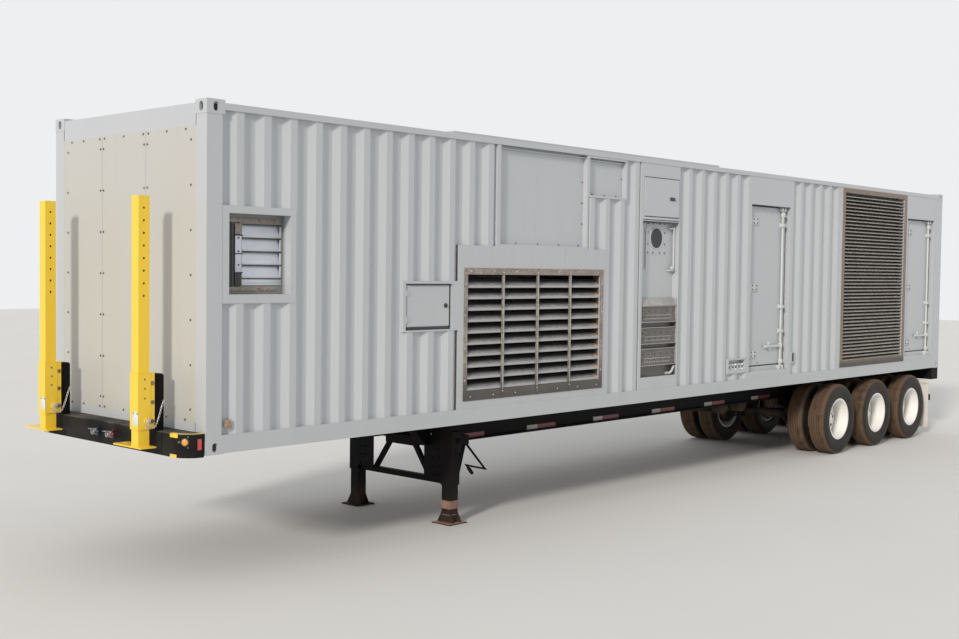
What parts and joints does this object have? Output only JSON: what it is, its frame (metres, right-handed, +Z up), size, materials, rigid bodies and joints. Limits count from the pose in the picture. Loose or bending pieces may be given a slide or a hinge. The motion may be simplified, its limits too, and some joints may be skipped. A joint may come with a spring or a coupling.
{
  "type": "trailer-mounted diesel generator set",
  "caption": "Containerised diesel generator set on a gooseneck trailer, with louvres, personnel doors, landing gear and drop legs.",
  "frame": {"origin": "on the ground under the middle of the whole object", "axes": "+X to the rear along the container, -Y towards the louvred side with the doors, +Z up"},
  "size_m": [15.028, 2.498, 4.035],
  "materials": {
    "grey_paint": "semi-gloss light grey paint",
    "wall_paint": "semi-gloss light grey paint",
    "deck_wood": "oiled deck",
    "zinc": "galvanised sheet",
    "black_paint": "satin black paint",
    "yellow_paint": "gloss safety yellow paint",
    "flap_rubber": "dusty pale rubber",
    "tyre_rubber": "dusty rubber",
    "white_rim": "white paint"
  },
  "bodies": {
    "plant": {"corner_posts": "grey_paint", "corner_castings": "grey_paint", "side_rails": "grey_paint", "end_frames": "grey_paint", "near_wall": "grey_paint", "far_wall": "grey_paint", "shutter_frame": "grey_paint", "junction_box": "grey_paint", "intake_surround": "grey_paint", "blank_panels": "grey_paint", "connection_housing": "grey_paint", "service_boxes": "grey_paint", "door_frames": "grey_paint", "radiator_frames": "grey_paint", "roof": "grey_paint", "roof_cover": "grey_paint", "front_wall": "wall_paint", "rear_wall": "wall_paint", "floor": "deck_wood", "intake_frame": "zinc", "intake_blades": "zinc", "near_radiator_louvre": "zinc", "far_radiator_louvre": "zinc", "shutter_blades": "zinc", "port_cover": "zinc", "cable_boxes": "zinc", "main_beams": "black_paint", "trailer_cross_members": "black_paint", "front_bolster": "black_paint", "rear_bolster": "black_paint", "landing_gear_tubes": "black_paint", "landing_bracing": "black_paint", "leg_columns": "black_paint", "axles": "black_paint", "suspension": "black_paint", "leg_sleeves": "yellow_paint", "mud_flaps": "flap_rubber"},
    "front_door": {"front_door": "grey_paint"},
    "rear_door": {"rear_door": "grey_paint"},
    "front_lock_rod": {"front_lock_rod": "zinc"},
    "rear_lock_rod": {"rear_lock_rod": "zinc"},
    "junction_door": {"junction_door": "grey_paint"},
    "control_door": {"control_door": "grey_paint"},
    "near_drop_leg": {"near_drop_leg": "yellow_paint"},
    "far_drop_leg": {"far_drop_leg": "yellow_paint"},
    "near_landing_leg": {"near_landing_leg": "black_paint"},
    "far_landing_leg": {"far_landing_leg": "black_paint"},
    "near_wheels_1": {"near_tyres_1": "tyre_rubber", "near_rims_1": "white_rim"},
    "near_wheels_2": {"near_tyres_2": "tyre_rubber", "near_rims_2": "white_rim"},
    "near_wheels_3": {"near_tyres_3": "tyre_rubber", "near_rims_3": "white_rim"},
    "far_wheels_1": {"far_tyres_1": "tyre_rubber", "far_rims_1": "white_rim"},
    "far_wheels_2": {"far_tyres_2": "tyre_rubber", "far_rims_2": "white_rim"},
    "far_wheels_3": {"far_tyres_3": "tyre_rubber", "far_rims_3": "white_rim"}
  },
  "joints": [
    {"name": "front_door_hinge", "type": "hinge", "parent": "plant", "child": "front_door", "pos_m": [1.379, -1.189, 2.454], "axis": [0, 0, -1], "range_deg": [0, 120]},
    {"name": "front_lock_turn", "type": "hinge", "parent": "front_door", "child": "front_lock_rod", "pos_m": [2.251, -1.169, 2.454], "axis": [0, 0, 1], "range_deg": [0, 95]},
    {"name": "rear_door_hinge", "type": "hinge", "parent": "plant", "child": "rear_door", "pos_m": [6.193, -1.189, 2.454], "axis": [0, 0, -1], "range_deg": [0, 120]},
    {"name": "rear_lock_turn", "type": "hinge", "parent": "rear_door", "child": "rear_lock_rod", "pos_m": [7.067, -1.169, 2.454], "axis": [0, 0, 1], "range_deg": [0, 95]},
    {"name": "junction_door_hinge", "type": "hinge", "parent": "plant", "child": "junction_door", "pos_m": [-4.88, -1.209, 2.288], "axis": [0, 0, -1], "range_deg": [0, 110]},
    {"name": "control_door_hinge", "type": "hinge", "parent": "plant", "child": "control_door", "pos_m": [-1.0623, -1.22, 3.523], "axis": [0, 0, -1], "range_deg": [0, 110]},
    {"name": "near_drop_slide", "type": "slide", "parent": "plant", "child": "near_drop_leg", "axis": [0, 0, -1], "range_m": [0, 1.145]},
    {"name": "far_drop_slide", "type": "slide", "parent": "plant", "child": "far_drop_leg", "axis": [0, 0, -1], "range_m": [0, 1.145]},
    {"name": "near_landing_slide", "type": "slide", "parent": "plant", "child": "near_landing_leg", "axis": [0, 0, 1], "range_m": [0, 0.27]},
    {"name": "far_landing_slide", "type": "slide", "parent": "plant", "child": "far_landing_leg", "axis": [0, 0, 1], "range_m": [0, 0.27]},
    {"name": "near_wheels_1_spin", "type": "hinge", "parent": "plant", "child": "near_wheels_1", "pos_m": [3.936, -1.079, 0.515], "axis": [0, 1, 0], "continuous": true},
    {"name": "near_wheels_2_spin", "type": "hinge", "parent": "plant", "child": "near_wheels_2", "pos_m": [5.181, -1.079, 0.515], "axis": [0, 1, 0], "continuous": true},
    {"name": "near_wheels_3_spin", "type": "hinge", "parent": "plant", "child": "near_wheels_3", "pos_m": [6.426, -1.079, 0.515], "axis": [0, 1, 0], "continuous": true},
    {"name": "far_wheels_1_spin", "type": "hinge", "parent": "plant", "child": "far_wheels_1", "pos_m": [3.936, 1.079, 0.515], "axis": [0, 1, 0], "continuous": true},
    {"name": "far_wheels_2_spin", "type": "hinge", "parent": "plant", "child": "far_wheels_2", "pos_m": [5.181, 1.079, 0.515], "axis": [0, 1, 0], "continuous": true},
    {"name": "far_wheels_3_spin", "type": "hinge", "parent": "plant", "child": "far_wheels_3", "pos_m": [6.426, 1.079, 0.515], "axis": [0, 1, 0], "continuous": true}
  ],
  "couplings": [
    {"joint": "far_landing_slide", "follows": "near_landing_slide", "ratio": 1}
  ]
}
